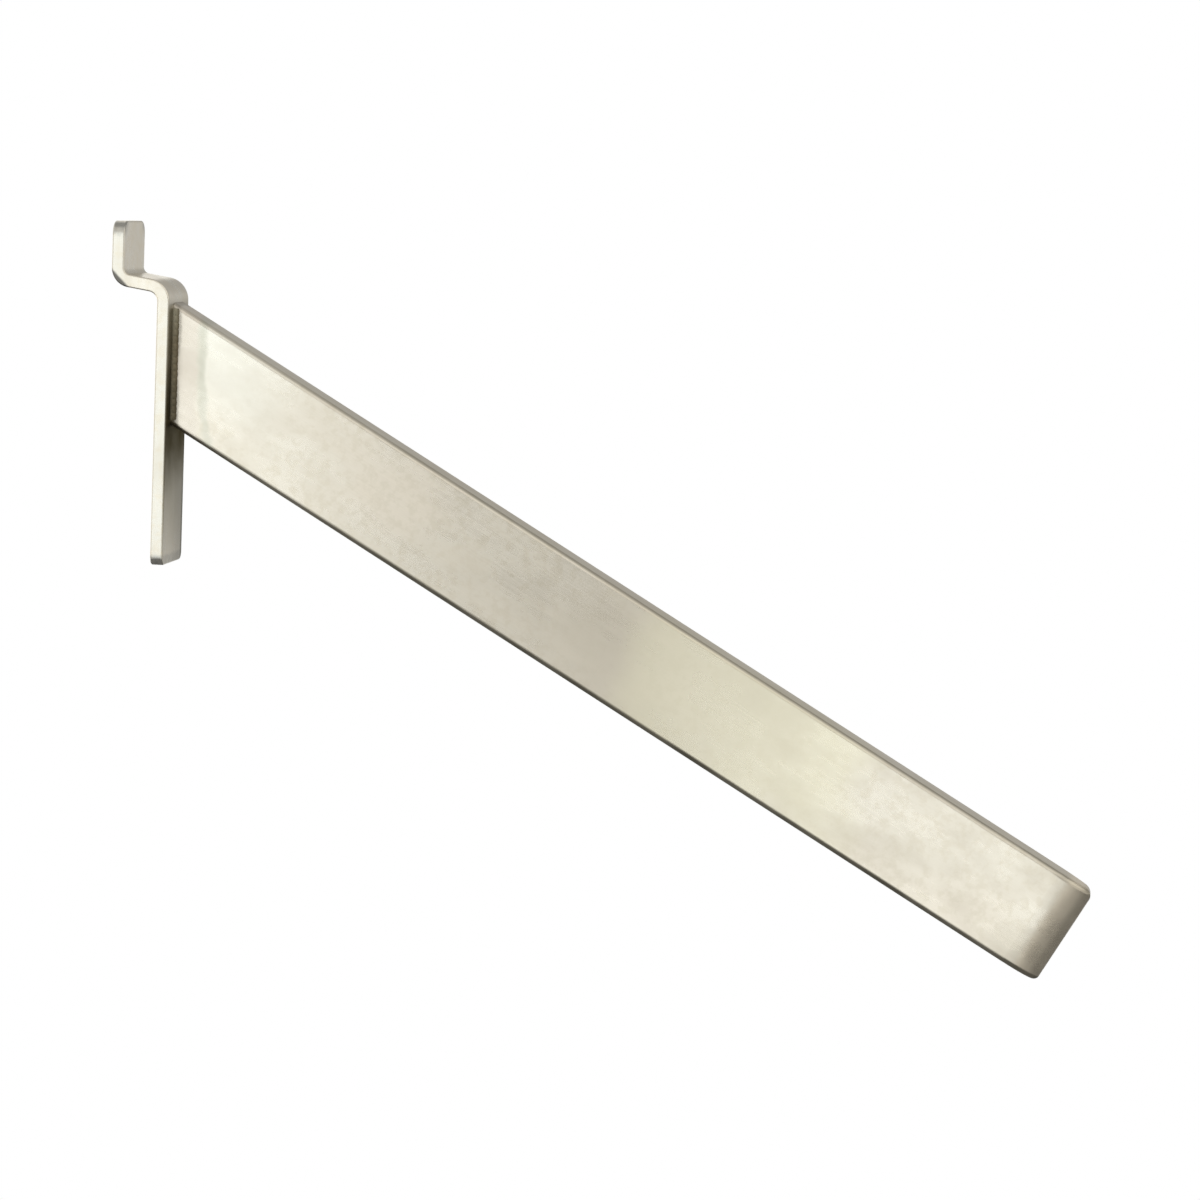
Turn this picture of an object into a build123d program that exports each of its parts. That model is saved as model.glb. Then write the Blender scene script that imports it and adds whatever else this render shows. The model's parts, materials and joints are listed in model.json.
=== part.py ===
from build123d import *

import os
from math import cos, radians, tan

# Slatwall shelf bracket: a bent flat-bar hanger with a sloping tube arm welded to it.
#
# Row frame, in millimetres: +X points out of the wall, +Z is up and +Y is across the bracket.
# X = 0 is the face of the slatwall panel, which the back of the hanger's leg lies on. Z = 0 is
# the height at which the underside of the hanger's sloping run meets that face. Y = 0 is the
# middle of the bracket, which is the same on both sides.

# Hanger: one flat bar bent twice, up behind the groove's edge and down in front of the panel.
BAR_WIDTH = 20.0
BAR_THICKNESS = 3.0
BAR_EDGE_ROUND = 0.4
HOOK_GAP = 8.0
LIP_RISE = 12.2
RUN_SLOPE = 8.5
LEG_DROP = 63.7
LIP_BEND_INSIDE = 1.5
LEG_BEND_INSIDE = 2.3
LIP_CORNER = 3.0
LEG_CORNER = 2.0

# Arm: rectangular tube, cut to the leg at the back and closed by a nose rounded in plan.
TUBE_HEIGHT = 25.0
TUBE_THICKNESS = 10.0
TUBE_WALL = 1.0
TUBE_CORNER = 1.2
TUBE_CORNER_INSIDE = TUBE_CORNER - TUBE_WALL
ARM_SLOPE = 30.0
ARM_TOP_LENGTH = 254.6
ARM_CENTRE_Z = -16.6
NOSE_LENGTH = 9.5
NOSE_TOP_CORNER = 2.6

# The nose's curve in plan keeps to the side for this share of its length, and it crosses the
# tip squarely for this share of its half width.
NOSE_SIDE_SHARE = 0.4
NOSE_TIP_SHARE = 0.8

# Fillet weld down each side of the joint, laid as a row of ripples.
WELD_LEG = 1.3
WELD_RIPPLE = 0.1
WELD_RIPPLES = 16

# Two lengths that agree this closely are the same.
LENGTH_MATCH = 0.001

# The block that cuts the tube off at the leg is this many tube heights long.
CUT_REACH = 3

# Values that follow from the ones above.
ARM_LENGTH = ARM_TOP_LENGTH - TUBE_HEIGHT / 2 * tan(radians(ARM_SLOPE))
JOINT_FLAT_HEIGHT = (TUBE_HEIGHT - 2 * TUBE_CORNER) / cos(radians(ARM_SLOPE))
LEG_FRONT_X = BAR_THICKNESS


def run_centre_z(x):
    """Height of the run's centre line at x; its underside meets the panel's face at Z = 0."""
    slope = radians(RUN_SLOPE)
    return BAR_THICKNESS / 2 / cos(slope) - x * tan(slope)


def bent_centre_line():
    """Side view of the hanger's mid-plane: lip, first bend, run, second bend and leg."""
    half = BAR_THICKNESS / 2
    lip_x = -HOOK_GAP - half
    route = [
        (lip_x, run_centre_z(-HOOK_GAP) + half + LIP_RISE),
        (lip_x, run_centre_z(lip_x)),
        (half, run_centre_z(half)),
        (half, -LEG_DROP),
    ]
    bends = [LIP_BEND_INSIDE + half, LEG_BEND_INSIDE + half]
    with BuildLine(Plane.XZ) as centre_line:
        FilletPolyline(*route, radius=bends)
    return centre_line.line


def edges_of_length(shape, length):
    """Straight edges of one length: the bar's thickness finds its corners, its width its bends."""
    straight = shape.edges().filter_by(GeomType.LINE)
    return straight.filter_by(lambda edge: abs(edge.length - length) < LENGTH_MATCH)


def build_hanger_bar():
    """Flat bar on its bent centre line, with rounded end corners and eased edges."""
    path = bent_centre_line()
    start = Plane(origin=path @ 0, x_dir=(0, 1, 0), z_dir=path % 0)
    bar = sweep(start * Rectangle(BAR_WIDTH, BAR_THICKNESS), path=path)
    lip_corners = edges_of_length(bar, BAR_THICKNESS).sort_by(Axis.Z)[-2:]
    bar = fillet(lip_corners, LIP_CORNER)
    leg_corners = edges_of_length(bar, BAR_THICKNESS).sort_by(Axis.Z)[:2]
    bar = fillet(leg_corners, LEG_CORNER)
    seams = edges_of_length(bar, BAR_THICKNESS) + edges_of_length(bar, BAR_WIDTH)
    return fillet(bar.edges() - seams, BAR_EDGE_ROUND)


def round_nosed_bar(height, thickness, corner, length, nose, top_corner):
    """Bar along X from well behind the leg to a nose rounded in plan, its long edges rounded."""
    half = thickness / 2
    tail = -TUBE_HEIGHT
    nose_start = length - nose
    side_reach = nose_start + NOSE_SIDE_SHARE * nose
    tip_reach = NOSE_TIP_SHARE * half
    with BuildLine() as plan:
        Bezier((nose_start, half), (side_reach, half), (length, tip_reach), (length, 0))
        Bezier((length, 0), (length, -tip_reach), (side_reach, -half), (nose_start, -half))
        Polyline((nose_start, -half), (tail, -half), (tail, half), (nose_start, half))
    bar = extrude(make_face(plan.line), height / 2, both=True)
    rims = bar.edges().group_by(Axis.Z)
    bar = fillet(rims[0] + rims[-1], corner)
    side_view = Plane.XZ * Pos((length + tail) / 2) * Rectangle(length - tail, height)
    nose_top = side_view.vertices().group_by(Axis.X)[-1].sort_by(Axis.Z)[-1]
    return bar & extrude(fillet(nose_top, top_corner), thickness, both=True)


def build_arm_tube():
    """Hollow tube that slopes down from the leg; its walls close in the rounded nose."""
    outside = round_nosed_bar(
        TUBE_HEIGHT, TUBE_THICKNESS, TUBE_CORNER, ARM_LENGTH, NOSE_LENGTH, NOSE_TOP_CORNER
    )
    inside = round_nosed_bar(
        TUBE_HEIGHT - 2 * TUBE_WALL,
        TUBE_THICKNESS - 2 * TUBE_WALL,
        TUBE_CORNER_INSIDE,
        ARM_LENGTH - TUBE_WALL,
        NOSE_LENGTH - TUBE_WALL,
        NOSE_TOP_CORNER - TUBE_WALL,
    )
    sloped = Pos(LEG_FRONT_X, 0, ARM_CENTRE_Z) * Rot(0, ARM_SLOPE, 0) * (outside - inside)
    reach = CUT_REACH * TUBE_HEIGHT
    behind_joint = Pos(LEG_FRONT_X - reach / 2, 0, ARM_CENTRE_Z) * Box(reach, reach, reach)
    return sloped - behind_joint


def build_side_weld(side):
    """Convex rippled bead in the corner between the leg's front and one side of the tube."""
    pitch = JOINT_FLAT_HEIGHT / WELD_RIPPLES
    top_z = ARM_CENTRE_Z + JOINT_FLAT_HEIGHT / 2
    corner_line = Axis((LEG_FRONT_X, side * TUBE_THICKNESS / 2, top_z), (0, 0, side))
    outer = [Line((0, 0), (WELD_LEG - WELD_RIPPLE, 0))]
    for ripple in range(WELD_RIPPLES):
        start = -ripple * pitch
        valley = WELD_LEG - WELD_RIPPLE
        outer.append(
            ThreePointArc((valley, start), (WELD_LEG, start - pitch / 2), (valley, start - pitch))
        )
    outer.append(Line((WELD_LEG - WELD_RIPPLE, -JOINT_FLAT_HEIGHT), (0, -JOINT_FLAT_HEIGHT)))
    outer.append(Line((0, -JOINT_FLAT_HEIGHT), (0, 0)))
    half_view = Plane(origin=corner_line.position, x_dir=(1, 0, 0), z_dir=(0, -1, 0))
    bead_profile = half_view * make_face(outer)
    return revolve(bead_profile, axis=corner_line, revolution_arc=90)


PIECES = {
    "hanger_bar": build_hanger_bar(),
    "arm_tube": build_arm_tube(),
    "left_weld": build_side_weld(-1),
    "right_weld": build_side_weld(1),
}

os.makedirs("parts", exist_ok=True)
for name, piece in PIECES.items():
    export_step(piece, f"parts/{name}.step")
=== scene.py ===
"""Looks for the slatwall shelf bracket: satin nickel on a bent bar and a tube arm, browned welds.

Everything is in metres, in the row's frame: +X out of the wall, +Z up, +Y across the bracket.
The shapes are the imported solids. This script adds their materials, a floor, light and a camera.
"""

import json
import math
from typing import NamedTuple

import bpy
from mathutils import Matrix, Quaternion, Vector


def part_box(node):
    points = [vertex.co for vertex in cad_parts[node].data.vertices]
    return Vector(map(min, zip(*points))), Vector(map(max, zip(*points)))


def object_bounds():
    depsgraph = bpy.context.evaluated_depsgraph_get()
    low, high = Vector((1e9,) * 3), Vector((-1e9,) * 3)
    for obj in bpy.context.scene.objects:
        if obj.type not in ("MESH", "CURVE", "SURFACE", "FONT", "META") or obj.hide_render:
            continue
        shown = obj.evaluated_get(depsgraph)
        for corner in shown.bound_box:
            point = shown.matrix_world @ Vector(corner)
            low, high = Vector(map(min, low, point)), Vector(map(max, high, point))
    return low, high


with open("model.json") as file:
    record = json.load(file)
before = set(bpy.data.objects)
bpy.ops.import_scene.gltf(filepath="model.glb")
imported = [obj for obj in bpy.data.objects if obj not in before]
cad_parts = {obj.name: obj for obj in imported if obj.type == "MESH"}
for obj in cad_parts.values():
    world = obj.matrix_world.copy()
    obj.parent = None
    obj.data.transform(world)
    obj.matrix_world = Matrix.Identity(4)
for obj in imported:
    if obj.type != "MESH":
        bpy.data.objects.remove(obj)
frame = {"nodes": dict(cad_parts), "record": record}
cad_low, cad_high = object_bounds()

nodes = frame["nodes"]
mounts = {mount["name"]: mount for mount in frame["record"]["mounts"]}

tube_low, tube_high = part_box("arm_tube")
bar_low, bar_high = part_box("hanger_bar")
weld_low, weld_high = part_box("left_weld")
bar_half_width = bar_high.y

# The arm's own frame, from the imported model: where it starts, which way it runs, how big it is.
arm_up = Vector(mounts["arm_top"]["axis"]).normalized()
arm_slope = math.atan2(arm_up.x, arm_up.z)
arm_along = Vector((math.cos(arm_slope), 0, -math.sin(arm_slope)))
joint_x = tube_low.x
joint_z = (weld_low.z + weld_high.z) / 2
arm_start = Vector((joint_x, 0, joint_z))
tube_half_height = (Vector(mounts["arm_top"]["pos_m"]) - arm_start).dot(arm_up)
tube_half_thickness = tube_high.y
tube_drop = arm_start.z - tube_low.z - tube_half_height * math.cos(arm_slope)
arm_length = tube_drop / math.sin(arm_slope)


# ---------------------------------------------------------------- node helpers


class Fade(NamedTuple):
    """A smooth change from low to high while a value goes from start to end."""

    start: float
    end: float
    low: float = 0.0
    high: float = 1.0

    def moved(self, distance):
        """The same change with its start and its end shifted."""
        return self._replace(start=self.start + distance, end=self.end + distance)


class Noise(NamedTuple):
    """A noise's settings, how far it is drawn out, and the fade that turns it into patches."""

    scale: float
    detail: float = 2.0
    roughness: float = 0.5
    drawn: float = 1.0
    fade: Fade = Fade(0.3, 0.7)


class Tree:
    """A few short calls for building one material's or world's nodes."""

    def __init__(self, owner):
        owner.use_nodes = True
        self.nodes = owner.node_tree.nodes
        self.links = owner.node_tree.links
        self.nodes.clear()

    def add(self, kind, inputs=None, **settings):
        """Adds a node; inputs are numbers, colours, vectors or another node's output."""
        node = self.nodes.new(kind)
        for name, value in settings.items():
            setattr(node, name, value)
        for key, value in (inputs or {}).items():
            self.feed(node.inputs[key], value)
        return node

    def feed(self, socket, value):
        if isinstance(value, bpy.types.NodeSocket):
            self.links.new(value, socket)
        else:
            socket.default_value = value

    def calculate(self, operation, *values):
        node = self.add("ShaderNodeMath", operation=operation)
        for socket, value in zip(node.inputs, values):
            self.feed(socket, value)
        return node.outputs[0]

    def plus(self, first, *others):
        for other in others:
            first = self.calculate("ADD", first, other)
        return first

    def minus(self, first, second):
        return self.calculate("SUBTRACT", first, second)

    def times(self, first, *others):
        for other in others:
            first = self.calculate("MULTIPLY", first, other)
        return first

    def larger(self, first, second):
        return self.calculate("MAXIMUM", first, second)

    def unsigned(self, value):
        return self.calculate("ABSOLUTE", value)

    def apart(self, first, second):
        return self.unsigned(self.minus(first, second))

    def length(self, first, second):
        """The length of the vector with these two parts."""
        squares = self.plus(self.times(first, first), self.times(second, second))
        return self.calculate("SQRT", squares)

    def ease(self, value, fade):
        """Applies a fade to a value; the fade's low and high may also be nodes' outputs."""
        node = self.add("ShaderNodeMapRange", {"Value": value}, interpolation_type="SMOOTHSTEP")
        for key, item in zip(("From Min", "From Max", "To Min", "To Max"), fade):
            self.feed(node.inputs[key], item)
        return node.outputs["Result"]

    def between(self, factor, first, second):
        """Goes from the first number to the second as the factor goes from 0 to 1."""
        return self.ease(factor, Fade(0.0, 1.0, first, second))

    def blend(self, factor, first, second):
        """Goes from the first colour to the second as the factor goes from 0 to 1."""
        node = self.add("ShaderNodeMix", data_type="RGBA")
        self.feed(node.inputs[0], factor)
        self.feed(node.inputs[6], first)
        self.feed(node.inputs[7], second)
        return node.outputs[2]

    def mirrored(self, path):
        """1 for what is seen in metal or through glass, from a light path node's outputs."""
        return self.larger(path["Is Glossy Ray"], path["Is Transmission Ray"])


def rgb(red, green, blue):
    return (red, green, blue, 1.0)


WHITE = rgb(1, 1, 1)

# ---------------------------------------------------------------- plating

NICKEL = rgb(0.82, 0.775, 0.675)
NICKEL_BAR = rgb(0.755, 0.735, 0.665)
NICKEL_DULL = rgb(0.745, 0.69, 0.575)
NICKEL_WARM = rgb(0.84, 0.77, 0.66)
DARK_STEEL = rgb(0.27, 0.28, 0.28)
# Olive heat colour, and also painted shade down the leg's front.
OLIVE_HEAT_AND_SHADE = rgb(0.295, 0.275, 0.205)
# Dark heat scorch, and also the painted shadow beside and under the joint.
SCORCH_AND_SHADOW = rgb(0.085, 0.075, 0.052)

CLOUDS = Noise(110.0, 5.0, 0.62, drawn=2.2, fade=Fade(0.34, 0.80, 0.0, 0.66))
WARM_PATCHES = Noise(42.0, drawn=1.7, fade=Fade(0.48, 0.72, 0.0, 0.5))
MOTTLE = Noise(520.0, 3.0, 0.6, fade=Fade(0.42, 0.68, 0.0, 0.75))
GRAIN = Noise(2400.0, drawn=30.0, fade=Fade(0.25, 0.75, 0.985, 1.015))
PITS = Noise(1500.0)

PLATING_ROUGHNESS = 0.28
CLOUDS_ROUGHNESS = Fade(0.3, 0.75, PLATING_ROUGHNESS - 0.03, PLATING_ROUGHNESS + 0.06)
GRAIN_ROUGHNESS = Fade(0.3, 0.7, -0.012, 0.018)
GRAIN_RELIEF = 0.6
PITS_RELIEF = 0.4
BUMP_STRENGTH = 0.035
BUMP_DEPTH = 0.0001


class Plating(Tree):
    """Satin nickel with clouds, specks and a drawn grain along a piece's own length."""

    def __init__(self, name):
        self.material = bpy.data.materials.new(name)
        super().__init__(self.material)
        self.place = self.add("ShaderNodeTexCoord").outputs["Object"]
        self.x, self.y, self.z = self.add("ShaderNodeSeparateXYZ", {0: self.place}).outputs

    def noise(self, noise, place=None):
        """Noise over the piece's own place, or over another one."""
        node = self.add(
            "ShaderNodeTexNoise",
            {
                "Vector": self.place if place is None else place,
                "Scale": noise.scale,
                "Detail": noise.detail,
                "Roughness": noise.roughness,
            },
        )
        return node.outputs["Fac"]

    def patches(self, noise):
        return self.ease(self.noise(noise), noise.fade)

    def streaks(self, noise, along, across, up):
        """Noise drawn out along one axis, so that it becomes grain or streaks."""
        drawn = self.calculate("DIVIDE", along, noise.drawn)
        place = self.add("ShaderNodeCombineXYZ", {"X": drawn, "Y": across, "Z": up})
        return self.noise(noise, place.outputs[0])

    def weather(self, colour, along, across, up):
        """Clouds of dull plating, warm patches and fine grain; returns colour, grain and clouds."""
        clouds, warm, grain = (
            self.streaks(noise, along, across, up) for noise in (CLOUDS, WARM_PATCHES, GRAIN)
        )
        colour = self.blend(self.ease(clouds, CLOUDS.fade), colour, NICKEL_DULL)
        colour = self.blend(self.ease(warm, WARM_PATCHES.fade), colour, NICKEL_WARM)
        colour = self.blend(self.patches(MOTTLE), colour, NICKEL_DULL)
        shade = self.ease(grain, GRAIN.fade)
        shaded = self.add("ShaderNodeVectorMath", {0: colour, 3: shade}, operation="SCALE")
        return shaded.outputs[0], grain, clouds

    def finish(self, colour, grain, clouds, extra_roughness=0.0, rim=WHITE):
        """Roughness follows the clouds and the grain; rim tints what is seen along the surface."""
        roughness = self.plus(
            self.ease(clouds, CLOUDS_ROUGHNESS), self.ease(grain, GRAIN_ROUGHNESS), extra_roughness
        )
        pits = self.noise(PITS)
        relief = self.plus(self.times(grain, GRAIN_RELIEF), self.times(pits, PITS_RELIEF))
        bump = self.add(
            "ShaderNodeBump", {"Height": relief, "Strength": BUMP_STRENGTH, "Distance": BUMP_DEPTH}
        )
        shader = self.add(
            "ShaderNodeBsdfPrincipled",
            {
                "Base Color": colour,
                "Metallic": 1.0,
                "Roughness": roughness,
                "Specular Tint": rim,
                "Normal": bump.outputs[0],
            },
        )
        self.add("ShaderNodeOutputMaterial", {"Surface": shader.outputs[0]})
        return self.material


# ---------------------------------------------------------------- the arm

NICKEL_NARROW = rgb(0.62, 0.585, 0.485)
# Painted reflection and shade: a dimmer nickel for a stretch of the arm and the nose's low corner,
# a lighter, yellower one for another stretch.
NICKEL_PAINTED_DIM = rgb(0.68, 0.63, 0.53)
NICKEL_YELLOW_REFLECTION = rgb(0.875, 0.835, 0.64)
NICKEL_NOSE = rgb(0.93, 0.845, 0.69)
# Cleaner, less yellow nickel with a painted highlight.
NICKEL_CLEAN_HIGHLIGHT = rgb(0.875, 0.86, 0.775)
# Painted shade, for the tube's rounded edges and the nose's tip.
EDGE_PAINTED_SHADE = rgb(0.22, 0.205, 0.16)
HEAT_ROSE = rgb(0.70, 0.645, 0.565)
HEAT_GREEN = rgb(0.56, 0.575, 0.49)

# A fade's name says what it is counted from: RISE is the distance from the arm's middle line,
# HEIGHT is the same with a sign, and ALONG is the distance from the joint.
TUBE_ROUNDING = 0.0012
PATCHY = Noise(260.0, 3.0, drawn=3.0, fade=Fade(0.3, 0.7, 0.7, 1.0))
NARROW_FROM_TOP = Fade(-0.0009, -0.0003)
NARROW_WEAR = 0.5
NARROW_ROUGHER = 0.04
# How much of the painted yellow reflection and of the clean tint with its painted highlight shows
# on the narrow faces.
NARROW_TINTED = 0.35

STRETCH_DRIFT = Noise(28.0, fade=Fade(0.3, 0.7, -0.016, 0.016))
# Painted reflection along the arm: a darker stretch in the middle, then a lighter, yellower one.
DIM_REFLECTION_AT = 0.117
DIM_REFLECTION_FROM_THERE = Fade(0.041, 0.010)
DIM_REFLECTION_BY_RISE = Fade(0.003, 0.011, 0.82, 0.6)
BRIGHT_REFLECTION_AT = 0.154
BRIGHT_REFLECTION_FROM_THERE = Fade(0.034, 0.008, 0.0, 0.55)

NOSE_FROM_TIP = Fade(0.0110, 0.0070)
# Painted shade on the nose: low down towards the tip, and a dark outline at the tip itself.
LOW_CORNER_FROM_TIP = Fade(0.018, 0.010)
LOW_CORNER_BY_HEIGHT = Fade(0.001, -0.008, 0.0, 0.9)
CURVED_FROM_TIP = Fade(0.0068, 0.0045, 0.0, 0.85)
TIP_SHADE_FROM_TIP = Fade(0.0026, 0.0006)
TIP_SHADE_STRENGTH = 0.42

# Painted shade along the tube's rounded edges, upper and lower, and round the nose.
UPPER_EDGE_FROM_SIDE = Fade(-0.0014, -0.0006)
UPPER_EDGE_FROM_TOP = Fade(-0.0009, -0.0003)
UPPER_EDGE_ALONG = Fade(0.015, 0.080, 0.15, 0.45)
NOSE_EDGE_FROM_TOP = Fade(-0.0014, -0.0009)
NOSE_EDGE_END_FROM_TOP = Fade(-0.0001, -0.0004)
NOSE_EDGE_SHADE = 0.6
LOWER_EDGE_FROM_SIDE = Fade(-TUBE_ROUNDING, -0.0007)
LOWER_EDGE_FROM_BOTTOM = Fade(TUBE_ROUNDING + 0.0003, 0.0010)
LOWER_EDGE_ALONG = Fade(0.03, 0.09, 0.78, 0.95)

# How far out from the leg the heat colours reach, and how much that distance wanders.
HEAT_REACH = 0.0065
HEAT_WANDER = Noise(110.0, 3.0, fade=Fade(0.3, 0.7, -0.0008, 0.0008))
ROSE_FROM_REACH = Fade(0.0004, -0.0012, 0.0, 0.62)
# Beyond the heat colours the metal is cleaner and less yellow, with a painted highlight.
CLEAN_HIGHLIGHT_FROM_REACH = Fade(0.0006, 0.0024)
CLEAN_HIGHLIGHT_FROM_LEG = Fade(0.036, 0.012)
CLEAN_HIGHLIGHT_BY_HEIGHT = Fade(-0.010, 0.004, 0.0, 0.7)
LINE_PLACE_BY_HEIGHT = Fade(0.002, -0.010, HEAT_REACH, HEAT_REACH + 0.0009)
LINE_START_FROM_PLACE = Fade(-0.0013, 0.0005)
LINE_END_FROM_PLACE = Fade(0.0026, 0.0010)
LINE_STRENGTH_BY_HEIGHT = Fade(-0.010, 0.002, 0.42, 0.58)
BURNT_FROM_LEG = Fade(0.0018, 0.0011, 0.0, 0.35)


class ArmPlating(Plating):
    """The tube's plating, with distances along the arm, up from its middle line and sideways."""

    def __init__(self, name):
        super().__init__(name)
        from_start_x = self.minus(self.x, arm_start.x)
        from_start_z = self.minus(self.z, arm_start.z)
        self.along, self.up = (
            self.plus(self.times(from_start_x, way.x), self.times(from_start_z, way.z))
            for way in (arm_along, arm_up)
        )
        self.rise = self.unsigned(self.up)
        self.out = self.unsigned(self.y)
        self.from_tip = self.minus(arm_length, self.along)
        self.narrow = self.ease(self.rise, NARROW_FROM_TOP.moved(tube_half_height))
        self.tinted = self.between(self.narrow, 1.0, NARROW_TINTED)
        self.on_nose = self.ease(self.from_tip, NOSE_FROM_TIP)
        patchy = self.streaks(PATCHY, self.along, self.y, self.up)
        self.patchy = self.ease(patchy, PATCHY.fade)

    def narrow_faces(self, colour):
        """The narrow top and bottom faces are a little duller than the sides."""
        dull = self.times(self.narrow, self.patchy, NARROW_WEAR)
        return self.blend(dull, colour, NICKEL_NARROW)

    def stretches(self, colour):
        """A darker stretch in the middle of the arm and a lighter, yellower one after it: painted
        reflection.
        """
        drifted = self.plus(self.along, self.patches(STRETCH_DRIFT))
        fade = DIM_REFLECTION_FROM_THERE._replace(high=self.ease(self.rise, DIM_REFLECTION_BY_RISE))
        dim_reflection = self.ease(self.apart(drifted, self.plus(self.rise, DIM_REFLECTION_AT)), fade)
        colour = self.blend(dim_reflection, colour, NICKEL_PAINTED_DIM)
        bright_reflection = self.ease(self.apart(drifted, BRIGHT_REFLECTION_AT), BRIGHT_REFLECTION_FROM_THERE)
        return self.blend(self.times(bright_reflection, self.tinted), colour, NICKEL_YELLOW_REFLECTION)

    def nose(self, colour):
        """The nose has painted shade low down, is warmer where it curves away, and has a painted
        dark outline at its tip.
        """
        low_corner = self.times(
            self.ease(self.from_tip, LOW_CORNER_FROM_TIP), self.ease(self.up, LOW_CORNER_BY_HEIGHT)
        )
        colour = self.blend(low_corner, colour, NICKEL_PAINTED_DIM)
        colour = self.blend(self.ease(self.from_tip, CURVED_FROM_TIP), colour, NICKEL_NOSE)
        tip_shade = self.times(self.ease(self.from_tip, TIP_SHADE_FROM_TIP), self.patchy, TIP_SHADE_STRENGTH)
        return self.blend(tip_shade, colour, EDGE_PAINTED_SHADE)

    def edges(self, colour):
        """Rounded edges carry painted shade, in patches: the lower ones more than the upper."""
        side_edge = self.times(
            self.ease(self.out, UPPER_EDGE_FROM_SIDE.moved(tube_half_thickness)),
            self.ease(self.up, UPPER_EDGE_FROM_TOP.moved(tube_half_height)),
            self.ease(self.along, UPPER_EDGE_ALONG),
        )
        nose_edge = self.times(
            self.ease(self.up, NOSE_EDGE_FROM_TOP.moved(tube_half_height)),
            self.ease(self.up, NOSE_EDGE_END_FROM_TOP.moved(tube_half_height)),
            self.on_nose,
            NOSE_EDGE_SHADE,
        )
        upper_edge = self.times(self.larger(side_edge, nose_edge), self.patchy)
        colour = self.blend(upper_edge, colour, EDGE_PAINTED_SHADE)

        near_side = self.ease(self.out, LOWER_EDGE_FROM_SIDE.moved(tube_half_thickness))
        lower_edge = self.times(
            self.larger(near_side, self.on_nose),
            self.ease(self.up, LOWER_EDGE_FROM_BOTTOM.moved(-tube_half_height)),
            self.patchy,
            self.ease(self.along, LOWER_EDGE_ALONG),
        )
        return self.blend(lower_edge, colour, EDGE_PAINTED_SHADE)

    def heat(self, colour):
        """Heat colours follow the leg: burnt at the weld, rose, a greenish line, then cleaner metal
        with a painted highlight.
        """
        from_leg = self.plus(self.minus(self.x, joint_x), self.patches(HEAT_WANDER))
        rose = self.ease(from_leg, ROSE_FROM_REACH.moved(HEAT_REACH))
        colour = self.blend(rose, colour, HEAT_ROSE)
        clean_highlight = self.times(
            self.ease(from_leg, CLEAN_HIGHLIGHT_FROM_REACH.moved(HEAT_REACH)),
            self.ease(from_leg, CLEAN_HIGHLIGHT_FROM_LEG),
            self.ease(self.up, CLEAN_HIGHLIGHT_BY_HEIGHT),
            self.tinted,
        )
        colour = self.blend(clean_highlight, colour, NICKEL_CLEAN_HIGHLIGHT)
        from_line = self.minus(from_leg, self.ease(self.up, LINE_PLACE_BY_HEIGHT))
        line = self.times(
            self.ease(from_line, LINE_START_FROM_PLACE),
            self.ease(from_line, LINE_END_FROM_PLACE),
            self.ease(self.up, LINE_STRENGTH_BY_HEIGHT),
        )
        colour = self.blend(line, colour, HEAT_GREEN)
        return self.blend(self.ease(from_leg, BURNT_FROM_LEG), colour, SCORCH_AND_SHADOW)


def arm_material():
    """Nickel on the tube: stretches of painted reflection, painted shade on the nose and edges, and
    heat colours beside the joint with a painted highlight beyond them.
    """
    plating = ArmPlating("tube_nickel")
    colour, grain, clouds = plating.weather(NICKEL, plating.along, plating.y, plating.up)
    colour = plating.narrow_faces(colour)
    colour = plating.stretches(colour)
    colour = plating.nose(colour)
    colour = plating.edges(colour)
    colour = plating.heat(colour)
    return plating.finish(colour, grain, clouds, plating.times(plating.narrow, NARROW_ROUGHER))


# ---------------------------------------------------------------- the hanger

BEND_PAINTED_SHADE = rgb(0.115, 0.11, 0.10)
DARK_RIM = rgb(0.30, 0.28, 0.22)

BAR_ROUNDING = 0.0004
FRONT_FROM_JOINT = Fade(-BAR_ROUNDING, -0.0001)

ROUGH_CUT = Noise(900.0, 3.0, fade=Fade(0.3, 0.7, 0.55, 1.0))
# The leg's cut end is darker, partly as painted shade.
LEG_END_FROM_BOTTOM = Fade(0.0029, 0.0017)
LEG_END_CUT_AND_SHADE = 0.7
CLIP_RAGGED = Fade(0.5, 1.0, -0.0004, 0.0004)
CLIP_FROM_CORNER = Fade(0.0044, 0.0012)
CLIP_WEAR = 0.62

# Heights are counted from the weld's top, from its foot or from the leg's bottom.
HEAT_AND_SHADE_FROM_WELD_TOP = Fade(0.0035, -0.001)
# The olive down the leg's front is heat colour and painted shade.
OLIVE_START_FROM_BOTTOM = -0.010
OLIVE_END_FROM_WELD_FOOT = -0.014
OLIVE_STRENGTH = 0.97
WORN_FROM_WELD_FOOT = Fade(-0.007, -0.021)
WORN_SIDE_START = -0.005
WORN_SIDE_END_FROM_SIDE = -0.0015
WORN_SIDE_WEAR = 0.35
WORN_EDGE_FROM_SIDE = Fade(-0.0024, -0.0012, 0.0, 0.5)
WORN_RIM = 0.8
# Heat scorch and painted shadow beside and just below the joint.
SCORCH_AND_SHADOW_PATCHES = Noise(240.0, 3.0, fade=Fade(0.25, 0.75, 0.85, 1.0))
SCORCH_AND_SHADOW_FROM_WELD_FOOT = Fade(-0.021, -0.003)
BESIDE_START_FROM_WELD_TOP = -0.002
BESIDE_END_FROM_WELD_FOOT = 0.003
BESIDE_LEAST = 0.15
SCORCH_AND_SHADOW_STRENGTH = 0.97
SCORCH_AND_SHADOW_ROUGHER = 0.12
SCORCH_AND_SHADOW_RIM = 0.85

# The bend between the lip and the run: its outer radius, and its centre's height.
OUTER_BEND_RADIUS = 0.0045
OUTER_BEND_RISE = 0.0055
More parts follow.
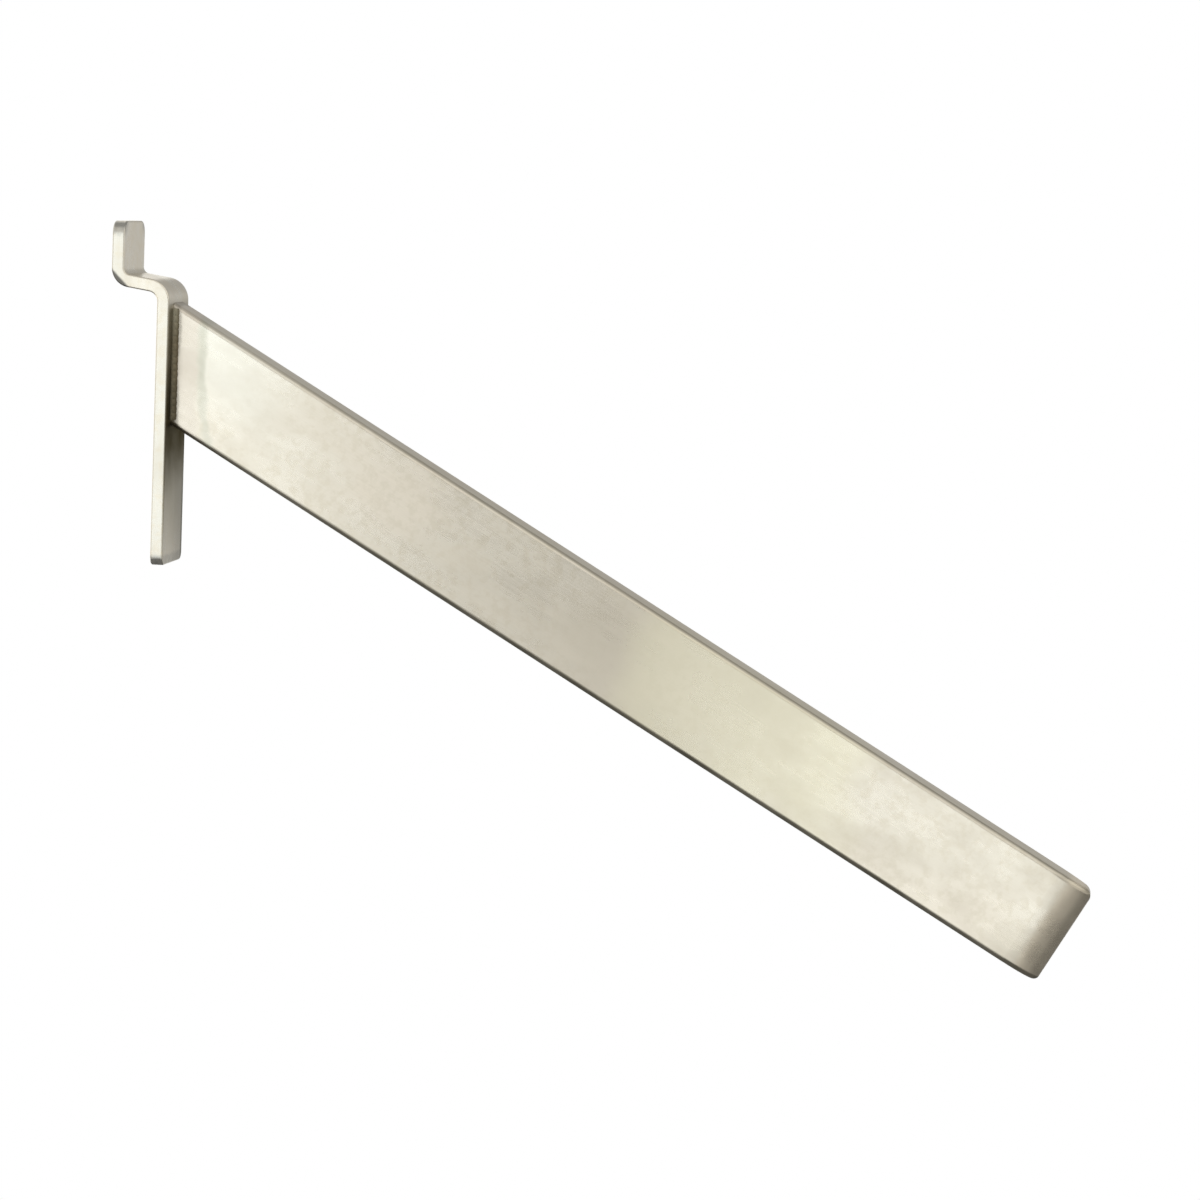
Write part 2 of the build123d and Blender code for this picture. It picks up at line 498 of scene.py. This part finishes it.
# Painted shade across the middle of the bend's outer curve, with a ragged border.
BEND_RAGGED = Noise(420.0, 3.0, fade=Fade(0.3, 0.7, -0.0004, 0.0004))
BEND_START_FROM_RADIUS = Fade(-0.0020, -0.0010)
BEND_END_FROM_RADIUS = Fade(0.0010, 0.0003)
BEND_MIDDLE = Fade(OUTER_BEND_RADIUS * 0.66, OUTER_BEND_RADIUS * 0.81)
BEND_SHADE_STRENGTH = 0.95
DIAGONAL = math.sqrt(0.5)


class HangerPlating(Plating):
    """The bar's plating; the weld's heat colours and painted shade show on the leg's front, up to
    the weld's top.
    """

    def __init__(self, name):
        super().__init__(name)
        self.on_front = self.ease(self.x, FRONT_FROM_JOINT.moved(joint_x))
        self.under_top = self.ease(self.z, HEAT_AND_SHADE_FROM_WELD_TOP.moved(weld_high.z))

    def cut_ends(self, colour):
        """The leg's sheared bottom and the lip's clipped corners show darker, bluish metal; at the
        leg's bottom it is partly painted shade.
        """
        rough_cut = self.patches(ROUGH_CUT)
        leg_end = self.ease(self.z, LEG_END_FROM_BOTTOM.moved(bar_low.z))
        colour = self.blend(self.times(leg_end, rough_cut, LEG_END_CUT_AND_SHADE), colour, DARK_STEEL)
        sideways = self.minus(self.unsigned(self.y), bar_half_width)
        downward = self.minus(self.z, bar_high.z)
        from_corner = self.plus(self.length(sideways, downward), self.ease(rough_cut, CLIP_RAGGED))
        clipped = self.times(self.ease(from_corner, CLIP_FROM_CORNER), CLIP_WEAR)
        return self.blend(clipped, colour, DARK_STEEL)

    def olive(self):
        """Brown from the weld's heat and painted shade, all down the leg's front and weaker towards
        its bottom.
        """
        fade = Fade(bar_low.z + OLIVE_START_FROM_BOTTOM, weld_low.z + OLIVE_END_FROM_WELD_FOOT)
        return self.times(self.on_front, self.ease(self.z, fade), self.under_top, OLIVE_STRENGTH)

    def worn(self):
        """Wear low on the right side of the leg's front, most of all at its edge."""
        side_end = bar_half_width + WORN_SIDE_END_FROM_SIDE
        side = self.ease(self.y, Fade(WORN_SIDE_START, side_end, 0.0, WORN_SIDE_WEAR))
        edge = self.ease(self.y, WORN_EDGE_FROM_SIDE.moved(bar_half_width))
        lower_leg = self.ease(self.z, WORN_FROM_WELD_FOOT.moved(weld_low.z))
        return self.times(self.on_front, lower_leg, self.plus(side, edge))

    def scorch_and_shadow(self):
        """Heat scorch and painted shadow beside and just below the joint, less of it towards the
        weld's top.
        """
        start = weld_high.z + BESIDE_START_FROM_WELD_TOP
        end = weld_low.z + BESIDE_END_FROM_WELD_FOOT
        return self.times(
            self.on_front,
            self.ease(self.z, SCORCH_AND_SHADOW_FROM_WELD_FOOT.moved(weld_low.z)),
            self.under_top,
            self.patches(SCORCH_AND_SHADOW_PATCHES),
            self.ease(self.z, Fade(start, end, BESIDE_LEAST)),
        )

    def lip_bend(self, colour):
        """The outside of the lip's bend has patches of painted shade across the middle of its
        curve.
        """
        from_centre_x = self.minus(self.x, bar_low.x + OUTER_BEND_RADIUS)
        from_centre_z = self.minus(self.z, OUTER_BEND_RISE)
        from_centre = self.length(from_centre_x, from_centre_z)
        in_and_down = self.times(self.plus(from_centre_x, from_centre_z), -DIAGONAL)
        ragged = self.plus(from_centre, self.patches(BEND_RAGGED))
        bend_shade = self.times(
            self.ease(ragged, BEND_START_FROM_RADIUS.moved(OUTER_BEND_RADIUS)),
            self.ease(from_centre, BEND_END_FROM_RADIUS.moved(OUTER_BEND_RADIUS)),
            self.ease(in_and_down, BEND_MIDDLE),
            BEND_SHADE_STRENGTH,
        )
        return self.blend(bend_shade, colour, BEND_PAINTED_SHADE)


def hanger_material():
    """Nickel on the bent bar: dark cut ends, partly painted shade, and olive-brown heat colour with
    painted shade and shadow around the joint.
    """
    plating = HangerPlating("hanger_nickel")
    olive, worn, scorch_and_shadow = plating.olive(), plating.worn(), plating.scorch_and_shadow()
    colour, grain, clouds = plating.weather(NICKEL_BAR, plating.z, plating.y, plating.x)
    colour = plating.cut_ends(colour)
    colour = plating.blend(olive, colour, OLIVE_HEAT_AND_SHADE)
    colour = plating.blend(worn, colour, DARK_STEEL)
    colour = plating.blend(plating.times(scorch_and_shadow, SCORCH_AND_SHADOW_STRENGTH), colour, SCORCH_AND_SHADOW)
    colour = plating.lip_bend(colour)

    # Burnt metal, the painted shadow under the joint and worn metal don't turn bright when they are
    # seen along the surface.
    dull = plating.larger(plating.times(scorch_and_shadow, SCORCH_AND_SHADOW_RIM), plating.times(worn, WORN_RIM))
    rim = plating.blend(dull, WHITE, DARK_RIM)
    return plating.finish(colour, grain, clouds, plating.times(scorch_and_shadow, SCORCH_AND_SHADOW_ROUGHER), rim)


# ---------------------------------------------------------------- the welds

WELD_DARK = rgb(0.135, 0.115, 0.075)
WELD_PALE = rgb(0.20, 0.175, 0.12)

SCALE_MARKS = Noise(800.0, 4.0, 0.65)
WELD_SPOTS = Noise(2600.0)
PALE_FROM_WELD_TOP = Fade(-0.008, -0.001, 0.0, 0.75)
FOOT_START_FROM_WELD_TOP = -0.012
FOOT_END_FROM_WELD_FOOT = 0.002
FOOT_DARKENING = 0.55
WELD_ROUGHER = 0.14


def weld_material():
    """Plated-over weld bead: olive brown with fine scale, paler at its top, darker towards its
    foot.
    """
    plating = Plating("weld_brown")
    scale_marks = plating.noise(SCALE_MARKS)
    colour = plating.blend(plating.ease(scale_marks, SCALE_MARKS.fade), WELD_DARK, WELD_PALE)
    pale = plating.ease(plating.z, PALE_FROM_WELD_TOP.moved(weld_high.z))
    colour = plating.blend(pale, colour, OLIVE_HEAT_AND_SHADE)
    start = weld_high.z + FOOT_START_FROM_WELD_TOP
    end = weld_low.z + FOOT_END_FROM_WELD_FOOT
    foot = plating.ease(plating.z, Fade(start, end, 0.0, FOOT_DARKENING))
    colour = plating.blend(foot, colour, SCORCH_AND_SHADOW)
    return plating.finish(colour, plating.noise(WELD_SPOTS), scale_marks, WELD_ROUGHER)


def dress(node_name, material):
    piece = nodes[node_name]
    piece.data.materials.clear()
    piece.data.materials.append(material)


dress("hanger_bar", hanger_material())
dress("arm_tube", arm_material())
weld_metal = weld_material()
dress("left_weld", weld_metal)
dress("right_weld", weld_metal)

# ---------------------------------------------------------------- stage

FLOOR_DROP = 0.30
FLOOR_SIZE = 1.7
FLOOR_PAPER = rgb(0.30, 0.30, 0.30)
FLOOR_GLOW = 0.88
FLOOR_MIRRORED_GLOW = 0.05


def floor_material():
    """Nearly white to the camera, dimmer paper in the metal above it, and clear from below."""
    material = bpy.data.materials.new("floor_white")
    tree = Tree(material)
    path = tree.add("ShaderNodeLightPath").outputs
    shine = tree.plus(
        tree.times(path["Is Camera Ray"], FLOOR_GLOW),
        tree.times(tree.mirrored(path), FLOOR_MIRRORED_GLOW),
    )
    paper = tree.add("ShaderNodeBsdfDiffuse", {"Color": FLOOR_PAPER})
    glow = tree.add("ShaderNodeEmission", {"Color": WHITE, "Strength": shine})
    seen = tree.add("ShaderNodeAddShader", {0: paper.outputs[0], 1: glow.outputs[0]})
    below = tree.add("ShaderNodeNewGeometry").outputs["Backfacing"]
    clear = tree.add("ShaderNodeBsdfTransparent")
    sheet = tree.add("ShaderNodeMixShader", {0: below, 1: seen.outputs[0], 2: clear.outputs[0]})
    tree.add("ShaderNodeOutputMaterial", {"Surface": sheet.outputs[0]})
    return material


middle_x = (cad_low.x + cad_high.x) / 2
bpy.ops.mesh.primitive_plane_add(size=FLOOR_SIZE, location=(middle_x, 0, cad_low.z - FLOOR_DROP))
floor = bpy.context.object
floor.name = "floor"
floor.data.materials.append(floor_material())

# ---------------------------------------------------------------- light

# The room that the metal mirrors is pale in front and to both sides. Behind, it is white to the
# west and low down, and dimmer higher up to the east. Its fades are counted on the direction's
# three parts, each from -1 to 1, with behind at +Y and east at +X.
ROOM_TINT = rgb(1.0, 0.975, 0.925)
ROOM_LEVEL = 0.6
ROOM_BEHIND = Fade(-0.15, 0.15)
FRONT_HIGH = Fade(0.05, 0.45, 0.50, 0.90)
FRONT_LOW = Fade(-0.16, -0.36, 0.0, 0.3)
FRONT_SIDES = Fade(0.35, 0.60, 0.0, 0.3)
BACK_HIGH = Fade(0.0, 0.3, 0.62, 0.42)
BACK_WEST = Fade(-0.2, -0.1, 0.6, 0.0)
BACK_LOW = Fade(-0.14, -0.30, 0.0, 0.33)
OVERHEAD = Fade(0.72, 0.95)
OVERHEAD_LEVEL = 0.5
BACKGROUND_LEVEL = 1.0

SOFTBOX_TINT = (0.93, 0.98, 1.0)


def studio_world():
    """White to the camera, an even level as light, and a shaded room to what the metal mirrors."""
    world = bpy.data.worlds.new("studio")
    tree = Tree(world)
    path = tree.add("ShaderNodeLightPath").outputs
    direction = tree.add("ShaderNodeTexCoord").outputs["Generated"]
    east, behind, height = tree.add("ShaderNodeSeparateXYZ", {0: direction}).outputs
    front = tree.plus(
        tree.ease(height, FRONT_HIGH),
        tree.ease(height, FRONT_LOW),
        tree.ease(tree.unsigned(east), FRONT_SIDES),
    )
    back = tree.plus(
        tree.ease(height, BACK_HIGH), tree.ease(east, BACK_WEST), tree.ease(height, BACK_LOW)
    )
    room = tree.between(tree.ease(behind, ROOM_BEHIND), front, back)
    room = tree.between(tree.ease(height, OVERHEAD), room, OVERHEAD_LEVEL)
    room = tree.between(tree.mirrored(path), ROOM_LEVEL, room)
    strength = tree.between(path["Is Camera Ray"], room, BACKGROUND_LEVEL)
    tint = tree.blend(path["Is Camera Ray"], ROOM_TINT, WHITE)
    sky = tree.add("ShaderNodeBackground", {"Color": tint, "Strength": strength})
    tree.add("ShaderNodeOutputWorld", {"Surface": sky.outputs[0]})
    return world


def add_softbox(name, centre, toward, width, height, glow):
    """A plain area lamp that shines towards a point; glow is how bright its face looks."""
    data = bpy.data.lights.new(name, "AREA")
    data.shape = "RECTANGLE"
    data.size = width
    data.size_y = height
    data.energy = glow * math.pi * width * height
    data.color = SOFTBOX_TINT
    lamp = bpy.data.objects.new(name, data)
    bpy.context.scene.collection.objects.link(lamp)
    lamp.location = centre
    away = Vector(centre) - Vector(toward)
    lamp.rotation_mode = "QUATERNION"
    lamp.rotation_quaternion = away.to_track_quat("Z", "Y")
    lamp.visible_camera = False


bpy.context.scene.world = studio_world()
add_softbox(
    "left_softbox",
    centre=(-0.16, -0.50, -0.03),
    toward=(0.03, 0, -0.03),
    width=0.22,
    height=0.34,
    glow=0.99,
)
add_softbox(
    "right_softbox",
    centre=(0.19, -0.50, -0.22),
    toward=(0.19, 0, -0.13),
    width=0.20,
    height=0.30,
    glow=0.79,
)

# ---------------------------------------------------------------- camera

# Fitted to the bracket's outline in the photo; the roll is about the line of sight.
TARGET = Vector((0.10542, 0.0, -0.06750))
DISTANCE = 0.96255
AZIMUTH = math.radians(7.034)
ELEVATION = math.radians(5.638)
ROLL = math.radians(2.208)
SENSOR = 36.0
LENS = 123.515

toward_camera = Vector(
    (
        math.sin(AZIMUTH) * math.cos(ELEVATION),
        -math.cos(AZIMUTH) * math.cos(ELEVATION),
        math.sin(ELEVATION),
    )
)
camera_data = bpy.data.cameras.new("camera")
camera_data.sensor_width = SENSOR
camera_data.lens = LENS
camera = bpy.data.objects.new("camera", camera_data)
bpy.context.scene.collection.objects.link(camera)
camera.location = TARGET + toward_camera * DISTANCE
level = toward_camera.to_track_quat("Z", "Y")
camera.rotation_mode = "QUATERNION"
camera.rotation_quaternion = Quaternion(toward_camera, ROLL) @ level
bpy.context.scene.camera = camera
bpy.context.scene.view_settings.view_transform = "Standard"
